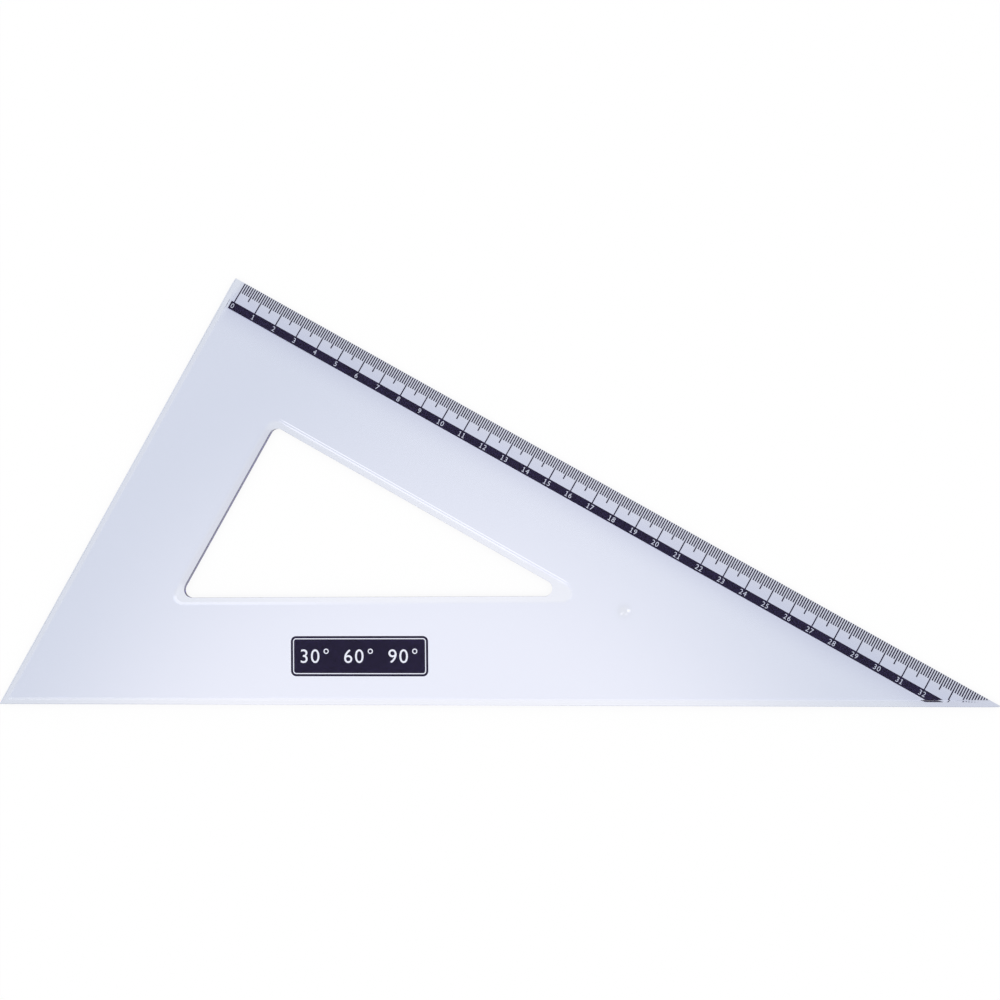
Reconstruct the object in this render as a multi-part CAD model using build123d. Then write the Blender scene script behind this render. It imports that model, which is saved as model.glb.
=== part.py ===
from build123d import *
import os
from math import cos, floor, radians, sin, tan

# A clear moulded 30/60/90 drafting triangle with a centimetre scale printed on its underside.
# It lies flat, with its underside on Z = 0. The graduated long leg runs along X on the +Y side,
# the short leg runs along Y on the -X side, and the origin is under the middle of the plate.
# Lengths are in millimetres and angles in degrees.

# Outline of the plate, to its sharp corners
short_leg = 204.2
acute_angle = 30.0
corner_radius = 0.3
plate_thickness = 3.0

# Bevel on the top face along the graduated edge
bevel_width = 7.5
graduated_edge_thickness = 1.2

# Lip on the top face along the short leg, the hypotenuse and the cut-out, below a sloping step
lip_width = 1.9
lip_drop = 1.2
step_run = 1.1

# Triangular cut-out, by the distances of its sides from the outer edges
cutout_from_short_leg = 44.9
cutout_from_long_leg = 45.4
cutout_from_hypotenuse = 44.2
cutout_corner_radius = 3.2

# Mark of the moulding gate, beyond the acute corner of the cut-out: a domed pip in a round dimple
gate_beyond_cutout = 20.4
gate_towards_long_leg = 4.8
gate_dimple_diameter = 4.6
gate_dimple_depth = 0.7
gate_pip_diameter = 1.5
gate_pip_height = 0.4

# Printed scale: reaches are measured from the graduated edge
print_recess = 0.08
ink_thickness = 0.05
print_from_short_leg = 3.2
print_from_hypotenuse = 2.5
print_border = 0.2
print_edge_gap = 0.15
zero_from_short_leg = 4.5
division = 1.0
mark_width = 0.5
millimetre_mark_reach = 4.5
half_centimetre_mark_reach = 6.4
band_gap = 2.55
band_width = 3.45

# Room by which a cutting tool passes the faces that it cuts
overcut = 5.0

# Sizes that follow from these
acute = radians(acute_angle)
long_leg = short_leg / tan(acute)
hypotenuse_height = long_leg * sin(acute)
wider = radians(90 - acute_angle)
plate_length = long_leg - corner_radius * (1 / tan(acute / 2) - 1)
plate_width = short_leg - corner_radius * (1 / tan(wider / 2) - 1)
lip_level = plate_thickness - lip_drop
field_inset = lip_width + step_run
band_near_side = half_centimetre_mark_reach + band_gap
band_far_side = band_near_side + band_width
recess_from_short_leg = print_from_short_leg - print_border
recess_from_hypotenuse = print_from_hypotenuse - print_border


def at(along_long_leg, along_short_leg):
    """Place of a point given by its distances from the right-angled corner along the two legs."""
    return (along_long_leg - plate_length / 2, plate_width / 2 - along_short_leg)


def reach_along_long_leg(from_long_leg, from_hypotenuse):
    """Distance from the short leg to a line inside the hypotenuse, at a distance from the long leg."""
    return (hypotenuse_height - from_hypotenuse - from_long_leg * cos(acute)) / sin(acute)


def reach_along_short_leg(from_short_leg, from_hypotenuse):
    """Distance from the long leg to a line inside the hypotenuse, at a distance from the short leg."""
    return (hypotenuse_height - from_hypotenuse - from_short_leg * sin(acute)) / cos(acute)


def triangle(from_short_leg, from_long_leg, from_hypotenuse, radius=0.0):
    """Flat triangle whose sides lie inside the outer edges by the given distances."""
    outline = Polygon(
        at(from_short_leg, from_long_leg),
        at(from_short_leg, reach_along_short_leg(from_short_leg, from_hypotenuse)),
        at(reach_along_long_leg(from_long_leg, from_hypotenuse), from_long_leg),
        align=None,
    )
    return fillet(outline.vertices(), radius) if radius else outline


def cutout_outline(growth, extra_radius=0.0):
    """Outline of the cut-out, with its sides moved outwards by a growth and its corners rounded more."""
    return triangle(
        cutout_from_short_leg - growth,
        cutout_from_long_leg - growth,
        cutout_from_hypotenuse - growth,
        cutout_corner_radius + extra_radius,
    )


def sloping_step(outline, first_inset, last_inset):
    """Solid between the lip and the top face whose sides slope from one inset to the other."""
    foot = Pos(0, 0, lip_level) * outline(first_inset)
    top = Pos(0, 0, plate_thickness) * outline(last_inset)
    return loft([foot, top], ruled=True)


def raised_field():
    """Full-thickness middle of the plate, which reaches the graduated edge and stops short of the others."""
    return sloping_step(lambda inset: triangle(inset, 0, inset), lip_width, field_inset)


def cutout_recess():
    """Space above the lip round the cut-out, whose foot has the corners of the cut-out itself."""
    return sloping_step(
        lambda growth: cutout_outline(growth, growth - lip_width), lip_width, field_inset
    )


def edge_bevel():
    """Wedge of space above the bevel, all along the graduated edge."""
    edge = plate_width / 2
    fall = (plate_thickness - graduated_edge_thickness) / bevel_width
    section = Plane.YZ * Polygon(
        (edge - bevel_width - overcut, plate_thickness + fall * overcut),
        (edge + overcut, graduated_edge_thickness - fall * overcut),
        (edge + overcut, plate_thickness + fall * overcut),
        align=None,
    )
    return extrude(section, amount=plate_length, both=True)


def print_field():
    """Space of the shallow recess in the underside that keeps the printed scale off the paper."""
    far_side = band_far_side + print_border
    outline = Polygon(
        at(recess_from_short_leg, -overcut),
        at(recess_from_short_leg, far_side),
        at(reach_along_long_leg(far_side, recess_from_hypotenuse), far_side),
        at(reach_along_long_leg(-overcut, recess_from_hypotenuse), -overcut),
        align=None,
    )
    return extrude(Pos(0, 0, -overcut) * outline, amount=overcut + print_recess)


def cap_radius(diameter, height):
    """Radius of the ball whose cap has a diameter and a height."""
    return (diameter**2 / 4 + height**2) / (2 * height)


def gate_mark():
    """Dimple of the gate, with the pip still standing in it, as a space to cut out of the plate."""
    place = at(
        reach_along_long_leg(cutout_from_long_leg, cutout_from_hypotenuse) + gate_beyond_cutout,
        cutout_from_long_leg - gate_towards_long_leg,
    )
    floor_level = plate_thickness - gate_dimple_depth
    dimple_radius = cap_radius(gate_dimple_diameter, gate_dimple_depth)
    pip_radius = cap_radius(gate_pip_diameter, gate_pip_height)
    dimple = Pos(*place, floor_level + dimple_radius) * Sphere(dimple_radius)
    pip = Pos(*place, floor_level + gate_pip_height - pip_radius) * Sphere(pip_radius)
    return dimple - pip


def clear_plate():
    """The one moulded piece of clear polystyrene."""
    slab = extrude(triangle(0, 0, 0, corner_radius), amount=lip_level)
    opening = extrude(Pos(0, 0, -overcut) * cutout_outline(0), amount=plate_thickness + 2 * overcut)
    plate = slab + raised_field()
    for space in (edge_bevel(), cutout_recess(), opening, print_field(), gate_mark()):
        plate -= space
    return plate


def ink_film(*outlines):
    """Thin patches of ink on the ceiling of the recess."""
    bottom = Pos(0, 0, print_recess - ink_thickness)
    return Compound(children=[extrude(bottom * outline, amount=ink_thickness).solid() for outline in outlines])


def number_band():
    """Dark band behind the numbers of the scale, cut off parallel to the hypotenuse."""
    return ink_film(
        Polygon(
            at(print_from_short_leg, band_near_side),
            at(print_from_short_leg, band_far_side),
            at(reach_along_long_leg(band_far_side, print_from_hypotenuse), band_far_side),
            at(reach_along_long_leg(band_near_side, print_from_hypotenuse), band_near_side),
            align=None,
        )
    )


def scale_mark(count, reach):
    """One mark of the scale, cut off where it meets the line inside the hypotenuse."""
    left = zero_from_short_leg + count * division - mark_width / 2
    right = left + mark_width
    left_end = min(reach, reach_along_short_leg(left, print_from_hypotenuse))
    right_end = min(reach, reach_along_short_leg(right, print_from_hypotenuse))
    return Polygon(
        at(left, print_edge_gap),
        at(left, left_end),
        at(right, right_end),
        at(right, print_edge_gap),
        align=None,
    )


def scale_marks(reach, belongs):
    """All the marks of one kind along the graduated edge."""
    room = reach_along_long_leg(print_edge_gap, print_from_hypotenuse) - zero_from_short_leg - mark_width
    counts = range(floor(room / division) + 1)
    return ink_film(*(scale_mark(count, reach) for count in counts if belongs(count)))


parts = {
    "clear_plate": clear_plate(),
    "number_band": number_band(),
    "centimetre_marks": scale_marks(band_near_side, lambda count: count % 10 == 0),
    "half_centimetre_marks": scale_marks(half_centimetre_mark_reach, lambda count: count % 10 == 5),
    "millimetre_marks": scale_marks(millimetre_mark_reach, lambda count: count % 5 != 0),
}

os.makedirs("parts", exist_ok=True)
for node, shape in parts.items():
    export_step(shape, f"parts/{node}.step")
    print(node, len(shape.solids()), "solids", round(shape.volume, 2), "mm3")
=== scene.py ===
# %% [markdown]
# # A clear drafting triangle
# The object is one moulded plate of clear plastic with a scale printed on its underside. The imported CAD
# model is the fixed frame, so the first cell opens it and keeps its box. Everything below is in metres,
# in that frame: X along the graduated edge, Y across the plate, Z up.

# %% Open the frame
from math import cos, pi, radians, sin, tan

import bmesh
import bpy
from mathutils import Matrix, Vector


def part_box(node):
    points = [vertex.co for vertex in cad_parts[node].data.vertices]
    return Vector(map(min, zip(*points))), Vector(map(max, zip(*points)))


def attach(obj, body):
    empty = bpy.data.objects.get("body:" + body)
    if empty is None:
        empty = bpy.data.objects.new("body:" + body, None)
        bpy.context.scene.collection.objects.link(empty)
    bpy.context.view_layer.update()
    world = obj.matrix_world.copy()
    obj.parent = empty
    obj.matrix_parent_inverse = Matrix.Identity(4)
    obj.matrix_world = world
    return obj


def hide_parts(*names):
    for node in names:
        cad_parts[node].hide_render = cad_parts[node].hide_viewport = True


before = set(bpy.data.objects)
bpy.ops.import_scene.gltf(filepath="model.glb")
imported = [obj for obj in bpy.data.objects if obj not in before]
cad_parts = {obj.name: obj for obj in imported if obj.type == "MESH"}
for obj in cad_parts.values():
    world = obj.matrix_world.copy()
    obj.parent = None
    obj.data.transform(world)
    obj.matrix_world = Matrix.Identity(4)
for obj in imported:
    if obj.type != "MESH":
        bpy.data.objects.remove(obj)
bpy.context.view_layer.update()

mm = 0.001
scene = bpy.context.scene
scene.view_settings.view_transform = "Standard"

# %% [markdown]
# ## A few small helpers
# Shader and geometry trees are made of nodes, so one function adds a node, gives it its settings and fills
# its inputs: an input that is given a socket is linked, any other value is typed in. Three more add the
# nodes that come again and again: a step of arithmetic, a ramp and a mix of two colours. The others turn a
# colour picked on screen (sRGB) into the linear numbers that shaders work with, start a material, put a new
# object in the scene, and turn an object with modifiers into a plain mesh.


# %% Helpers
def add_node(tree, kind, inputs=None, **settings):
    """One new node. Its inputs are named or numbered, and each is linked or set."""
    node = tree.nodes.new(kind)
    for name, value in settings.items():
        setattr(node, name, value)
    for name, value in (inputs or {}).items():
        if isinstance(value, bpy.types.NodeSocket):
            tree.links.new(value, node.inputs[name])
        else:
            node.inputs[name].default_value = value
    return node


def arithmetic(tree, operation, *values):
    """Socket of one step of arithmetic on numbers and sockets."""
    return add_node(tree, "ShaderNodeMath", dict(enumerate(values)), operation=operation).outputs[0]


def ramp(tree, value, start, end, low=0.0, high=1.0, soft=False):
    """Socket that goes from low to high while a value goes from start to end, and stays there beyond."""
    node = add_node(
        tree,
        "ShaderNodeMapRange",
        {"Value": value, "From Min": start, "From Max": end, "To Min": low, "To Max": high},
        interpolation_type="SMOOTHSTEP" if soft else "LINEAR",
    )
    return node.outputs[0]


def mix_colours(tree, share, first, second, blend="MIX"):
    """Socket of a first colour that takes on a share of a second one."""
    node = add_node(
        tree, "ShaderNodeMix", {0: share, 6: first, 7: second}, data_type="RGBA", blend_type=blend
    )
    return node.outputs[2]


def linear(hex_colour):
    """Linear RGBA of an sRGB hex colour such as D5DBEB."""
    channels = [int(hex_colour[start:start + 2], 16) / 255 for start in (0, 2, 4)]
    return [c / 12.92 if c <= 0.04045 else ((c + 0.055) / 1.055) ** 2.4 for c in channels] + [1.0]


def new_material(name):
    """An empty node material and its tree."""
    material = bpy.data.materials.new(name)
    material.use_nodes = True
    material.node_tree.nodes.clear()
    return material, material.node_tree


def new_piece(name, data):
    """A new object at the origin, in the scene."""
    piece = bpy.data.objects.new(name, data)
    scene.collection.objects.link(piece)
    return piece


def mesh_of(piece):
    """Plain mesh of an object as its modifiers or its curve make it."""
    graph = bpy.context.evaluated_depsgraph_get()
    return bpy.data.meshes.new_from_object(piece.evaluated_get(graph))


print("helpers ready, mid grey is", round(linear("808080")[0], 3))

# %% [markdown]
# ## Clear polystyrene
# The plate is injection-moulded polystyrene with polished faces. Polystyrene bends light more than acrylic
# (IOR 1.59), which is why its edges glitter and darken. A trace of blue dye shows as a cool tint, fainter on
# the thin lip than on the full plate, and the absorption volume makes long paths inside the plate darker
# than the short path straight through. Light that leaves by an edge has run along the whole plate, so a
# steep face that is seen from outside gets a deep violet and lets less through.
# No moulded face is a perfect mirror: the melt leaves slow waves in it, and handling leaves a faint haze
# that comes and goes, so a bump and the roughness follow two noises of those sizes.

# %% Material of the plate
tint_where_thick = linear("F2F4FF")
tint_where_thin = linear("FBFBFF")
lip_level = 1.8 * mm
top_level = 3.0 * mm
painted_edge_shade = linear("35286E")
clear_share_at_edges = 0.6
steep_rise = 0.1
level_rise = 0.3
long_path_colour = linear("7373F0")
absorption_per_metre = 12.0
polystyrene_ior = 1.59
flow_wave = 14 * mm
flow_wave_height = 0.004 * mm
haze_patch = 25 * mm
polished_roughness = 0.012
hazy_roughness = 0.035


def clear_polystyrene():
    """Polished clear moulding: faint blue tint, painted violet edge shade, slow flow waves, patches of haze.
    """
    material, tree = new_material("clear_polystyrene")
    own = add_node(tree, "ShaderNodeTexCoord")
    place = own.outputs["Object"]
    level = add_node(tree, "ShaderNodeSeparateXYZ", {0: place}).outputs["Z"]
    thickness = ramp(tree, level, lip_level, top_level)
    tint = mix_colours(tree, thickness, tint_where_thin, tint_where_thick)
    rise = add_node(tree, "ShaderNodeSeparateXYZ", {0: own.outputs["Normal"]}).outputs["Z"]
    flatness = ramp(tree, arithmetic(tree, "ABSOLUTE", rise), steep_rise, level_rise)
    # Steep faces seen from outside get a painted deep violet shade that stands for light's long path inside.
    from_inside = add_node(tree, "ShaderNodeNewGeometry").outputs["Backfacing"]
    free_of_edge_shade = arithmetic(tree, "MAXIMUM", flatness, from_inside)
    tint = mix_colours(tree, free_of_edge_shade, painted_edge_shade, tint)
    clear_share = ramp(tree, free_of_edge_shade, 0.0, 1.0, low=clear_share_at_edges)
    waves = add_node(tree, "ShaderNodeTexNoise", {"Vector": place, "Scale": 1 / flow_wave, "Detail": 1.0})
    bump = add_node(
        tree,
        "ShaderNodeBump",
        {"Height": waves.outputs["Fac"], "Distance": flow_wave_height, "Strength": 1.0},
    )
    haze = add_node(tree, "ShaderNodeTexNoise", {"Vector": place, "Scale": 1 / haze_patch, "Detail": 4.0})
    roughness = ramp(tree, haze.outputs["Fac"], 0.0, 1.0, polished_roughness, hazy_roughness)
    surface = add_node(
        tree,
        "ShaderNodeBsdfPrincipled",
        {
            "Base Color": tint,
            "Roughness": roughness,
            "Normal": bump.outputs[0],
            "IOR": polystyrene_ior,
            "Transmission Weight": clear_share,
        },
    )
    dye = add_node(
        tree, "ShaderNodeVolumeAbsorption", {"Color": long_path_colour, "Density": absorption_per_metre}
    )
    add_node(
        tree,
        "ShaderNodeOutputMaterial",
        {"Surface": surface.outputs["BSDF"], "Volume": dye.outputs["Volume"]},
    )
    return material


plastic = clear_polystyrene()
print("material:", plastic.name)

# %% [markdown]
# ## Printing ink
# The scale is screen-printed on the underside in one dark purple-black ink. The film is matte, and where it
# came out thinner it looks a little redder, so a slow noise moves between two near colours. Behind clear
# plastic the ink has no gloss of its own, so its specular level is low.

# %% Material of the print
ink_colour = linear("302749")
ink_thin_colour = linear("3B3155")
ink_mottle = 9 * mm
ink_roughness = 0.65
ink_ior = 1.5
ink_gloss = 0.1


def printing_ink():
    """Screen-printed ink, matte, with slightly uneven cover."""
    material, tree = new_material("printing_ink")
    place = add_node(tree, "ShaderNodeTexCoord")
    cover = add_node(
        tree,
        "ShaderNodeTexNoise",
        {"Vector": place.outputs["Object"], "Scale": 1 / ink_mottle, "Detail": 3.0},
    )
    colour = mix_colours(tree, cover.outputs["Fac"], ink_colour, ink_thin_colour)
    surface = add_node(
        tree,
        "ShaderNodeBsdfPrincipled",
        {"Base Color": colour, "Roughness": ink_roughness, "IOR": ink_ior, "Specular IOR Level": ink_gloss},
    )
    add_node(tree, "ShaderNodeOutputMaterial", {"Surface": surface.outputs["BSDF"]})
    return material


ink = printing_ink()
print("material:", ink.name)

# %% [markdown]
# ## The moulded plate
# The CAD solid has the true outline, lips, steps and bevel, but its edges are perfectly sharp, and a real
# mould leaves them round: the step flows in a soft S from the lip to the top face, the outer edges are only
# broken. Those roundings catch the thin lines of light, so a merged copy of the CAD mesh stands in for the
# node. Each edge gets its own bevel weight, the Bevel modifier rounds it by that much, and a
# Weighted Normal modifier keeps the large faces optically flat. The mark of the gate, where the melt came
# in, is a smooth dimple with a pip in it, so its edges are left as they are and only shaded smooth.

# %% Plate with rounded edges
step_rounding = 0.5 * mm
edge_rounding = 0.3 * mm
rounding_segments = 5
rounded_from = radians(12)
slope_rise = 0.3
flat_rise = 0.99
gate_levels = (0.7, 0.99)
merge_distance = 0.002 * mm
flat_seam = radians(0.4)


def gate_edges(work):
    """Edges of the gate mark, the one form on its half of the plate with points just below the top."""
    top = max(vertex.co.z for vertex in work.verts)
    lowest, highest = (share * top for share in gate_levels)
    points = [v for v in work.verts if v.co.x > 0 and lowest < v.co.z < highest]
    return {edge for point in points for face in point.link_faces for edge in face.edges}


def rounding_weight(edge):
    """Share of the step's rounding that an edge gets: all of it at the step, less at other sharp edges."""
    if edge.calc_face_angle() < rounded_from:
        return 0.0
    rises = sorted(face.normal.z for face in edge.link_faces)
    if rises[0] > slope_rise and rises[1] > flat_rise:
        return 1.0
    return edge_rounding / step_rounding


def merged_copy(node_name):
    """Mesh of a CAD node with its loose triangles merged, its flat seams dissolved and its edges weighted."""
    work = bmesh.new()
    work.from_mesh(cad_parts[node_name].data)
    bmesh.ops.remove_doubles(work, verts=work.verts, dist=merge_distance)
    bmesh.ops.dissolve_limit(work, angle_limit=flat_seam, verts=work.verts, edges=work.edges)
    weight = work.edges.layers.float.new("bevel_weight_edge")
    smooth = gate_edges(work)
    for edge in work.edges:
        edge[weight] = 0.0 if edge in smooth else rounding_weight(edge)
    mesh = bpy.data.meshes.new(node_name)
    work.to_mesh(mesh)
    work.free()
    return mesh


plate = new_piece("moulded_plate", merged_copy("clear_plate"))
plate.data.materials.append(plastic)
plate.data.shade_smooth()
rounding = plate.modifiers.new("rounded_edges", "BEVEL")
rounding.width = step_rounding
rounding.segments = rounding_segments
rounding.limit_method = "WEIGHT"
flat_faces = plate.modifiers.new("flat_faces", "WEIGHTED_NORMAL")
flat_faces.mode = "FACE_AREA"
flat_faces.weight = 100
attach(plate, "root")
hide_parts("clear_plate")
print("plate:", len(plate.data.vertices), "vertices before rounding")

# %% [markdown]
# ## The marks of the scale
# Hundreds of marks repeat along the edge, so Geometry Nodes make them: a line of points, a thin bar on each,
# and a last step that pushes the ends of the bars back to the slanted line where the print stops. One
# tree makes all three kinds of mark, which differ only in spacing and reach. The film is keyed a hair into
# the plastic, because wet ink leaves no air between itself and the plate.

# %% Tree of the marks
mark_inputs = {
    "Count": "NodeSocketInt",
    "Skip every": "NodeSocketInt",
    "First": "NodeSocketFloat",
    "Pitch": "NodeSocketFloat",
    "Width": "NodeSocketFloat",
    "Near end": "NodeSocketFloat",
    "Far end": "NodeSocketFloat",
    "Bottom": "NodeSocketFloat",
    "Film": "NodeSocketFloat",
    "Cut slope": "NodeSocketFloat",
    "Cut height": "NodeSocketFloat",
    "Ink": "NodeSocketMaterial",
}


def mark_tree():
    """Geometry tree for a row of printed bars that end on a slanted line."""
    tree = bpy.data.node_groups.new("printed_marks", "GeometryNodeTree")
    for name, kind in mark_inputs.items():
        tree.interface.new_socket(name, in_out="INPUT", socket_type=kind)
    tree.interface.new_socket("Marks", in_out="OUTPUT", socket_type="NodeSocketGeometry")
    size = add_node(tree, "NodeGroupInput").outputs
    start = add_node(tree, "ShaderNodeCombineXYZ", {"X": size["First"]})
    step = add_node(tree, "ShaderNodeCombineXYZ", {"X": size["Pitch"]})
    row = add_node(
        tree,
        "GeometryNodeMeshLine",
        {"Count": size["Count"], "Start Location": start.outputs[0], "Offset": step.outputs[0]},
    )
    length = arithmetic(tree, "SUBTRACT", size["Near end"], size["Far end"])
    middle = arithmetic(tree, "MULTIPLY_ADD", length, 0.5, size["Far end"])
    level = arithmetic(tree, "MULTIPLY_ADD", size["Film"], 0.5, size["Bottom"])
    bar_size = add_node(tree, "ShaderNodeCombineXYZ", {0: size["Width"], 1: length, 2: size["Film"]})
    bar_place = add_node(tree, "ShaderNodeCombineXYZ", {1: middle, 2: level})
    bar = add_node(tree, "GeometryNodeMeshCube", {"Size": bar_size.outputs[0]})
    bar = add_node(
        tree, "GeometryNodeTransform", {"Geometry": bar.outputs["Mesh"], "Translation": bar_place.outputs[0]}
    )
    number = add_node(tree, "GeometryNodeInputIndex").outputs[0]
    left_over = arithmetic(tree, "FLOORED_MODULO", number, size["Skip every"])
    kept = add_node(
        tree, "FunctionNodeCompare", {0: left_over, 1: 0.5}, data_type="FLOAT", operation="GREATER_THAN"
    )
    no_skip = add_node(
        tree, "FunctionNodeCompare", {2: size["Skip every"], 3: 0}, data_type="INT", operation="EQUAL"
    )
    chosen = add_node(
        tree, "FunctionNodeBooleanMath", {0: kept.outputs[0], 1: no_skip.outputs[0]}, operation="OR"
    )
    bars = add_node(
        tree,
        "GeometryNodeInstanceOnPoints",
        {"Points": row.outputs[0], "Selection": chosen.outputs[0], "Instance": bar.outputs[0]},
    )
    bars = add_node(tree, "GeometryNodeRealizeInstances", {0: bars.outputs[0]})
    position = add_node(tree, "GeometryNodeInputPosition").outputs[0]
    place = add_node(tree, "ShaderNodeSeparateXYZ", {0: position}).outputs
    cut = arithmetic(tree, "MULTIPLY_ADD", place["X"], size["Cut slope"], size["Cut height"])
    kept_y = arithmetic(tree, "MAXIMUM", place["Y"], cut)
    new_place = add_node(tree, "ShaderNodeCombineXYZ", {0: place["X"], 1: kept_y, 2: place["Z"]})
    bars = add_node(
        tree, "GeometryNodeSetPosition", {"Geometry": bars.outputs[0], "Position": new_place.outputs[0]}
    )
    bars = add_node(tree, "GeometryNodeSetMaterial", {"Geometry": bars.outputs[0], "Material": size["Ink"]})
    add_node(tree, "NodeGroupOutput", {"Marks": bars.outputs[0]})
    return tree


marks_tree = mark_tree()
print("tree:", marks_tree.name, "with", len(marks_tree.nodes), "nodes")

# %% [markdown]
# ## Rows of marks
# The tree now runs once for each kind of mark. Where a row begins and ends, how far it reaches and how high
# the film lies are read from the CAD node that the row stands for, so the two can't drift apart. The
# millimetre row counts from the zero mark and skips every fifth place, where a longer mark stands.

# %% Rows of marks
centimetre = 10 * mm
millimetre = 1 * mm
mark_width = 0.5 * mm
keyed_in = 0.01 * mm
slant = tan(radians(30))
band_low, band_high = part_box("number_band")
film = band_high.z - band_low.z
print_cut = {"Cut slope": slant, "Cut height": band_high.y - slant * band_high.x}


def print_piece(name, mesh, *nodes):
    """A printed piece on the plate, in the place of some CAD nodes."""
    piece = new_piece(name, mesh)
    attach(piece, "root")
    if nodes:
        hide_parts(*nodes)
    print(name, len(mesh.polygons), "faces")
    return piece


def printed_marks(node_name, pitch, skip_every=0):
    """One kind of mark, where the CAD node of that name has its marks."""
    low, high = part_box(node_name)
    reach_in = -pitch if skip_every else 0.0
    first = low.x + mark_width / 2 + reach_in
    sizes = {
        "Count": round((high.x - mark_width / 2 - first) / pitch) + 1,
        "Skip every": skip_every,
        "First": first,
        "Pitch": pitch,
        "Width": mark_width,
        "Near end": high.y,
        "Far end": low.y,
        "Bottom": low.z + keyed_in,
        "Film": film,
        "Ink": ink,
        **print_cut,
    }
    maker = new_piece("maker", bpy.data.meshes.new("maker"))
    modifier = maker.modifiers.new("marks", "NODES")
    modifier.node_group = marks_tree
    for socket in marks_tree.interface.items_tree:
        if socket.in_out == "INPUT":
            modifier[socket.identifier] = sizes[socket.name]
    mesh = mesh_of(maker)
    maker.modifiers.remove(modifier)
    bpy.data.objects.remove(maker)
    return print_piece("printed_" + node_name, mesh, node_name)


printed_marks("centimetre_marks", centimetre)
printed_marks("half_centimetre_marks", centimetre)
printed_marks("millimetre_marks", millimetre, skip_every=5)

# %% [markdown]
# ## Figures
# The figures of the scale are a plain sans-serif, set at an even pitch like a typewriter's. Blender's own
# font gives all of them but the 1, which stands on a foot here and is drawn from listed corners. Each figure
# is kept as outlines one unit tall, so that the same ones serve at any size.

# %% Outlines of the figures
one_corners = [
    (0.04, 0.0), (0.56, 0.0), (0.56, 0.11), (0.37, 0.11), (0.37, 1.0), (0.26, 1.0),
    (0.06, 0.84), (0.11, 0.73), (0.23, 0.82), (0.23, 0.11), (0.04, 0.11),
]
figure_pitch = 0.82


def font_outlines(character):
    """Bezier outlines of one character, each point as a trio of left handle, place and right handle."""
    letter = new_piece("letter", bpy.data.curves.new("letter", "FONT"))
    letter.data.body = character
    splines = letter.to_curve(bpy.context.evaluated_depsgraph_get()).splines
    outlines = [
        [(point.handle_left.xy, point.co.xy, point.handle_right.xy) for point in spline.bezier_points]
        for spline in splines
    ]
    letter.to_curve_clear()
    bpy.data.objects.remove(letter)
    return outlines


def extent(outlines, axis):
    """Lowest and highest place of some outlines along an axis."""
    places = [trio[1][axis] for outline in outlines for trio in outline]
    return min(places), max(places)


zero_low, zero_high = extent(font_outlines("0"), 1)


def figure(character):
    """Outlines of a character one unit tall, standing on the X axis and centred on the Y axis."""
    if character == "1":
        outlines = [[(Vector(corner), Vector(corner), Vector(corner)) for corner in one_corners]]
    else:
        grown = 1 / (zero_high - zero_low)
        outlines = [
            [tuple((v - Vector((0, zero_low))) * grown for v in trio) for trio in outline]
            for outline in font_outlines(character)
        ]
    middle = Vector((sum(extent(outlines, 0)) / 2, 0))
    return [[tuple(v - middle for v in trio) for trio in outline] for outline in outlines]


figures = {character: figure(character) for character in "0123456789°"}
print("figures:", "".join(figures))

# %% [markdown]
# ## The numbers
# The numbers are not printed: they are left clear in a dark band. A flat curve fills the space
# between its outer outline and the outlines inside it, so the band is one curve whose inner outlines are
# the figures.

# %% Band with clear numbers
digit_height = 2.05 * mm
last_number = 32


def add_text(curve, text, height, centre, turn=0.0):
    """Adds the outlines of a text to a flat curve, centred on a point and turned about it."""
    turned = Matrix.Rotation(turn, 2)
    for index, character in enumerate(text):
        along = Vector(((index - (len(text) - 1) / 2) * figure_pitch, -0.5))
        for outline in figures.get(character, ()):
            spline = curve.splines.new("BEZIER")
            spline.bezier_points.add(len(outline) - 1)
            spline.use_cyclic_u = True
            for point, trio in zip(spline.bezier_points, outline):
                point.handle_left_type = "FREE"
                point.handle_right_type = "FREE"
                left, middle, right = (turned @ ((v + along) * height) + Vector(centre) for v in trio)
                point.handle_left = (*left, 0)
                point.co = (*middle, 0)
                point.handle_right = (*right, 0)


def add_outline(curve, corners):
    """Adds one straight-sided outline to a flat curve."""
    outline = curve.splines.new("POLY")
    outline.points.add(len(corners) - 1)
    outline.use_cyclic_u = True
    for point, corner in zip(outline.points, corners):
        point.co = (*corner, 0, 1)


def flat_curve(name, thickness):
    """An empty flat curve that fills what its outlines enclose, as thick as a film."""
    curve = bpy.data.curves.new(name, "CURVE")
    curve.dimensions = "2D"
    curve.fill_mode = "BOTH"
    curve.extrude = thickness / 2
    curve.resolution_u = 6
    return curve


def film_mesh(curve, bottom):
    """Mesh of a flat curve, lifted so that its underside is at a level."""
    piece = new_piece("film", curve)
    mesh = mesh_of(piece)
    bpy.data.objects.remove(piece)
    mesh.transform(Matrix.Translation((0, 0, bottom + curve.extrude)))
    mesh.materials.clear()
    mesh.materials.append(ink)
    return mesh


band_depth = band_high.y - band_low.y
band = flat_curve("number_band", film)
add_outline(
    band,
    [
        (band_low.x, band_high.y),
        (band_low.x, band_low.y),
        (band_high.x - band_depth / slant, band_low.y),
        (band_high.x, band_high.y),
    ],
)
zero_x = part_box("centimetre_marks")[0].x + mark_width / 2
number_y = (band_low.y + band_high.y) / 2
for number in range(last_number + 1):
    add_text(band, str(number), digit_height, (zero_x + number * centimetre, number_y))
print_piece("printed_number_band", film_mesh(band, band_low.z + keyed_in), "number_band")

# %% [markdown]
# ## The angle label
# Such triangles carry a printed block between the cut-out and the hypotenuse. Here it names the
# three angles, which anyone who picks the triangle up may want to know. It is made as the band is: a dark
# film with clear figures and a clear line inside its border. It lies in the skin of the underside, so no
# two faces share a plane.

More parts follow.
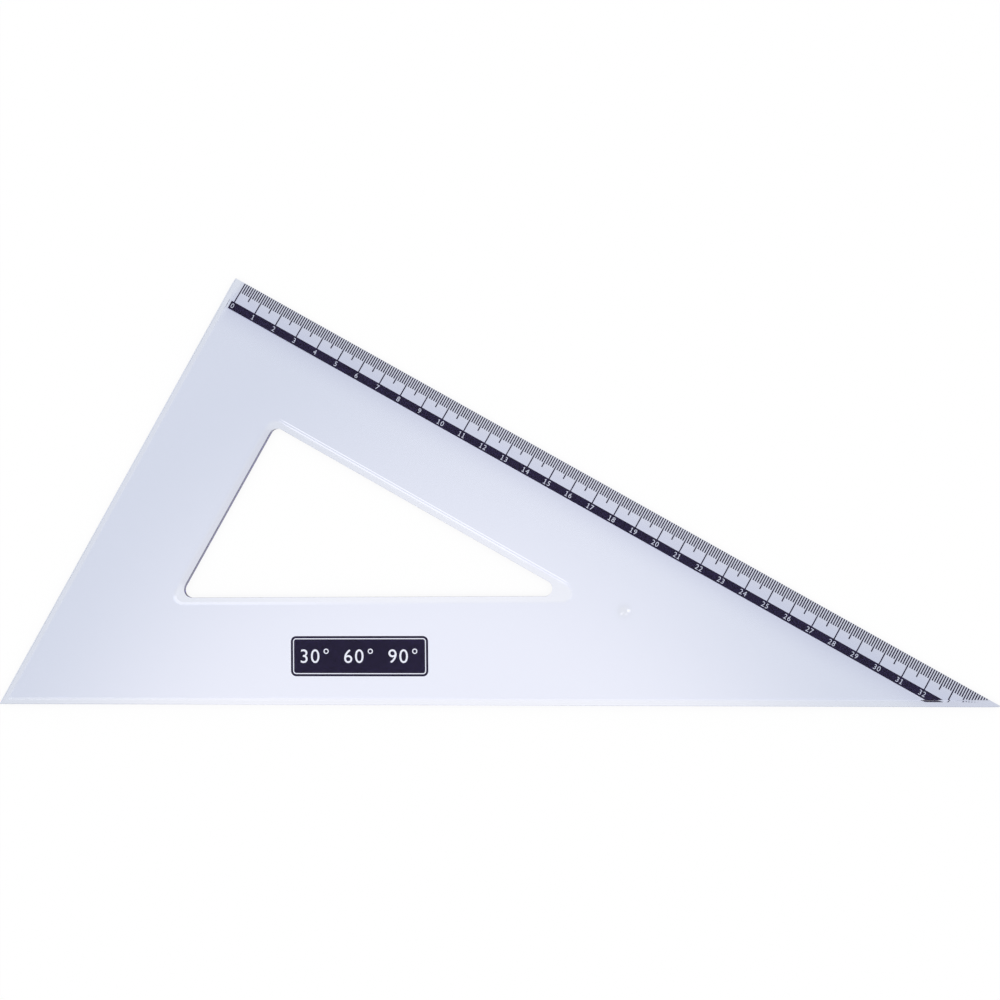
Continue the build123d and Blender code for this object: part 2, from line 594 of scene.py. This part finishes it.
# %% Label with the three angles
label_centre = (-54 * mm, -8.5 * mm)
label_size = (57 * mm, 16.5 * mm)
label_corner = 2.2 * mm
label_line = (0.9 * mm, 1.3 * mm)
label_digit_height = 5.6 * mm
label_film = 0.02 * mm
label_skin = 0.005 * mm
along_hypotenuse = radians(30)


def rounded_rectangle(inset, steps=8):
    """Corners of the label's outline with round corners, moved inwards, in their place on the plate."""
    radius = label_corner - inset
    turned = Matrix.Rotation(along_hypotenuse, 2)
    corners = []
    for quarter, signs in enumerate(((1, 1), (-1, 1), (-1, -1), (1, -1))):
        middle = Vector(s * (side / 2 - label_corner) for s, side in zip(signs, label_size))
        for step in range(steps + 1):
            angle = (quarter + step / steps) * pi / 2
            corner = middle + radius * Vector((cos(angle), sin(angle)))
            corners.append(turned @ corner + Vector(label_centre))
    return corners


label = flat_curve("angle_label", label_film)
for inset in (0.0, *label_line):
    add_outline(label, rounded_rectangle(inset))
add_text(label, "30° 60° 90°", label_digit_height, label_centre, along_hypotenuse)
print_piece("printed_angle_label", film_mesh(label, label_skin))

# %% [markdown]
# ## White paper
# The triangle lies on white paper. The paper shows as pure white to the camera and in mirrors, with a little
# real light mixed in for the plate's own shadow. Through the plate it gets painted shade, for light that has
# already crossed the plastic once: least in a painted pool of light that comes in across the middle of the
# hypotenuse, and most beside the scale, where painted shade stands for the shadow of its ink.
#
# The plate is also a lens. Its step gathers light in a thin line beside the cut-out, its gate mark gathers
# some in small spots, and the left wall of the cut-out turns light away and leaves a dark line. Paper that
# glows can't catch such light, so the material carries it. The places and strengths of all these tones are
# fitted to the photograph: they don't follow the plate's shape by themselves.

# %% Floor
white = linear("FFFFFF")
# Painted light and shade of the paper seen through the plate: a pool of light, shade beside the print, a
# light line by the step, dark lines by the wall, shade and light spots at the gate mark.
painted_paper_shade = linear("E7ECF3")
painted_pool_light = [1.02, 1.035, 1.065, 1.0]
painted_print_shade = linear("EFEFF4")
painted_gate_shade = linear("F9F9F8")
gathered_light = [1.5, 1.5, 1.5, 1.0]
floor_gap = 0.05 * mm
floor_half_side = 3.0
share_of_real_light = 0.12
pool_centre = (169 * mm, -340 * mm)
pool_half_length = 261 * mm
pool_half_width = 537 * mm
pool_rim = 0.265
print_shade_reach = 11 * mm
print_shade_curve = 2.0
shade_end_fade = 1 * mm
step_light_run = (-62.5 * mm, 67.5 * mm, 2 * mm)
step_light_line = (60.1 * mm, 0.12 * mm, 0.05 * mm)
step_light_share = 0.75
wall_shade_run = (16.85 * mm, 37 * mm, 1.5 * mm)
wall_shades = (
    ((-131.85 * mm, 0.3 * mm, 0.15 * mm), linear("66647A")),
    ((-133.4 * mm, 1.7 * mm, 1.0 * mm), linear("F6F5F6")),
)
gate_place = Vector((30.6 * mm, 61.4 * mm, -floor_gap))
gate_shade = (3.0 * mm, 1.2 * mm)
gate_lights = (
    (Vector((1.7 * mm, 1.0 * mm, 0)), (0.6 * mm, 0.5 * mm), 0.55),
    (Vector((-0.3 * mm, -1.7 * mm, 0)), (0.5 * mm, 0.4 * mm), 0.35),
    (Vector((1.6 * mm, -0.8 * mm, 0)), (0.6 * mm, 0.5 * mm), 0.2),
)


def near(tree, value, middle, reach, fade):
    """Socket that is 1 within a reach of a middle place and fades out round the end of it."""
    away = arithmetic(tree, "ABSOLUTE", arithmetic(tree, "SUBTRACT", value, middle))
    return ramp(tree, away, reach + fade, reach - fade, soft=True)


def round_spot(tree, place, centre, radius, fade):
    """Socket that is 1 in a round spot and fades out round its rim."""
    away = add_node(tree, "ShaderNodeVectorMath", {0: place, 1: centre}, operation="DISTANCE")
    return near(tree, away.outputs["Value"], 0.0, radius, fade)


def paper_through_plate(tree, place):
    """Colour socket of the paper as it looks through the plate, with its painted light and shade."""
    # Painted pool of light, brightest across the middle of the hypotenuse, with painted shade further out.
    in_pool = add_node(
        tree,
        "ShaderNodeMapping",
        {
            "Vector": place,
            "Location": (*pool_centre, 0),
            "Rotation": (0, 0, along_hypotenuse),
            "Scale": (pool_half_length, pool_half_width, 1),
        },
        vector_type="TEXTURE",
    )
    pool = add_node(
        tree, "ShaderNodeTexGradient", {"Vector": in_pool.outputs[0]}, gradient_type="SPHERICAL"
    )
    pool_share = ramp(tree, pool.outputs["Fac"], 0.0, pool_rim, soft=True)
    colour = mix_colours(tree, pool_share, painted_paper_shade, painted_pool_light)
    spot = add_node(tree, "ShaderNodeSeparateXYZ", {0: place}).outputs
    # Painted shade under and beside the scale, standing for the shadow of its ink on the paper.
    beside_band = ramp(tree, spot["Y"], band_low.y - print_shade_reach, band_low.y)
    beside_band = arithmetic(tree, "POWER", beside_band, print_shade_curve)
    in_row = ramp(tree, spot["X"], band_low.x - shade_end_fade, band_low.x + shade_end_fade, soft=True)
    by_print = arithmetic(tree, "MULTIPLY", beside_band, in_row)
    colour = mix_colours(tree, by_print, colour, painted_print_shade, "MULTIPLY")
    # Painted light line on the paper, where the step would gather light beside the cut-out.
    along = near(tree, spot["X"], *step_light_run)
    across = near(tree, spot["Y"], *step_light_line)
    on_line = arithmetic(tree, "MULTIPLY", along, across)
    on_line = arithmetic(tree, "MULTIPLY", on_line, step_light_share)
    colour = mix_colours(tree, on_line, colour, gathered_light)
    # Painted dark line and painted shade on the paper along the cut-out's left wall, which turns light away.
    beside_wall = near(tree, spot["Y"], *wall_shade_run)
    for across_wall, shade in wall_shades:
        in_shade = arithmetic(tree, "MULTIPLY", near(tree, spot["X"], *across_wall), beside_wall)
        colour = mix_colours(tree, in_shade, colour, shade, "MULTIPLY")
    # Painted shade round the gate mark, then painted spots of light that the dimple would gather.
    in_dimple = round_spot(tree, place, gate_place, *gate_shade)
    colour = mix_colours(tree, in_dimple, colour, painted_gate_shade, "MULTIPLY")
    for offset, size, share in gate_lights:
        in_spot = round_spot(tree, place, gate_place + offset, *size)
        in_spot = arithmetic(tree, "MULTIPLY", in_spot, share)
        colour = mix_colours(tree, in_spot, colour, gathered_light)
    return colour


def white_paper():
    """White paper: white to the eye, with painted light and shade through the plate, really lit for its own
    shadow.
    """
    material, tree = new_material("white_paper")
    path = add_node(tree, "ShaderNodeLightPath").outputs
    place = add_node(tree, "ShaderNodeTexCoord").outputs["Object"]
    through_plate = paper_through_plate(tree, place)
    shaded = add_node(tree, "ShaderNodeEmission", {"Color": through_plate, "Strength": 1.0})
    plain = add_node(tree, "ShaderNodeEmission", {"Color": white, "Strength": 1.0})
    lit = add_node(tree, "ShaderNodeBsdfDiffuse", {"Color": white})
    to_eye = add_node(
        tree, "ShaderNodeMixShader", {0: share_of_real_light, 1: plain.outputs[0], 2: lit.outputs[0]}
    )
    seen = arithmetic(tree, "MAXIMUM", path["Is Camera Ray"], path["Is Glossy Ray"])
    mixed = add_node(tree, "ShaderNodeMixShader", {0: seen, 1: lit.outputs[0], 2: to_eye.outputs[0]})
    mixed = add_node(
        tree,
        "ShaderNodeMixShader",
        {0: path["Is Transmission Ray"], 1: mixed.outputs[0], 2: shaded.outputs[0]},
    )
    add_node(tree, "ShaderNodeOutputMaterial", {"Surface": mixed.outputs[0]})
    return material


floor_mesh = bpy.data.meshes.new("paper_floor")
signs = ((-1, -1), (1, -1), (1, 1), (-1, 1))
corners = [(x * floor_half_side, y * floor_half_side, -floor_gap) for x, y in signs]
floor_mesh.from_pydata(corners, [], [(0, 1, 2, 3)])
paper = new_piece("paper_floor", floor_mesh)
paper.data.materials.append(white_paper())
print("floor:", paper.name)

# %% [markdown]
# ## Studio light
# Matte things only need even light, so the world is plain white for all that they gather. A clear plate
# shows what it mirrors and bends, and small lamps would leave hard white dashes on its edges. So those rays,
# which Cycles counts as glossy, see a darker room with one window in it, low on the hypotenuse's side: the
# azimuth and the height of each direction decide how much of the window it sees. Overhead stays dim, so that
# the flat face mirrors nothing into the camera. A ray that has met a matte surface sees the even light again.
#
# Inside the plate, light is mirrored many times before it gets out. Blender stops such a path early, which
# would leave black lines along the step, so longer paths are allowed here.

# %% World
ceiling_light = 0.15
wall_light = 0.3
window_light = 2.0
window_azimuth = radians(-110)
window_half_width = radians(42)
window_core = radians(20)
window_sill = (radians(6), radians(18))
window_top = (radians(60), radians(42))
end_of_walls = (radians(30), radians(60))
longest_path = 24
bounces_in_plate = 16


def studio_world():
    """Even white world, which reflections see as a dim room with one soft window."""
    world = bpy.data.worlds.new("studio")
    world.use_nodes = True
    tree = world.node_tree
    tree.nodes.clear()
    direction = add_node(tree, "ShaderNodeTexCoord").outputs["Generated"]
    level = add_node(tree, "ShaderNodeVectorMath", {0: direction, 1: (1, 1, 0)}, operation="MULTIPLY")
    level = add_node(tree, "ShaderNodeVectorMath", {0: level.outputs[0]}, operation="NORMALIZE")
    facing = add_node(
        tree,
        "ShaderNodeVectorMath",
        {0: level.outputs[0], 1: (cos(window_azimuth), sin(window_azimuth), 0)},
        operation="DOT_PRODUCT",
    )
    across = ramp(tree, facing.outputs["Value"], cos(window_half_width), cos(window_core), soft=True)
    height = add_node(tree, "ShaderNodeSeparateXYZ", {0: direction}).outputs["Z"]
    above_sill = ramp(tree, height, *map(sin, window_sill), soft=True)
    below_top = ramp(tree, height, *map(sin, window_top), soft=True)
    window = arithmetic(tree, "MULTIPLY", across, above_sill)
    window = arithmetic(tree, "MULTIPLY", window, below_top)
    room = ramp(tree, height, *map(sin, end_of_walls), wall_light, ceiling_light)
    room = arithmetic(tree, "MULTIPLY_ADD", window, window_light, room)
    path = add_node(tree, "ShaderNodeLightPath").outputs
    not_matte = arithmetic(tree, "LESS_THAN", path["Diffuse Depth"], 0.5)
    mirrored = arithmetic(tree, "MULTIPLY", path["Is Glossy Ray"], not_matte)
    strength = add_node(tree, "ShaderNodeMix", {0: mirrored, 2: 1.0, 3: room})
    sky = add_node(tree, "ShaderNodeBackground", {"Color": white, "Strength": strength.outputs[0]})
    add_node(tree, "ShaderNodeOutputWorld", {"Surface": sky.outputs[0]})
    return world


scene.world = studio_world()
scene.cycles.max_bounces = longest_path
scene.cycles.glossy_bounces = bounces_in_plate
scene.cycles.transmission_bounces = bounces_in_plate
print("world:", scene.world.name)

# %% [markdown]
# ## Camera
# The camera looks almost straight down from about 40 cm, which is near enough for the cut-out's walls to
# show. Its place was solved from the triangle's own marks and corners, which are a ruler in the picture.

# %% Camera
camera_data = bpy.data.cameras.new("camera")
camera_data.sensor_width = 36.0
camera_data.lens = 36.0
camera = new_piece("camera", camera_data)
camera.location = (-8.77 * mm, 84.61 * mm, 407.53 * mm)
camera.rotation_euler = (radians(0.734), radians(3.841), radians(29.455))
scene.camera = camera
print("camera at", [round(c / mm, 1) for c in camera.location], "mm")
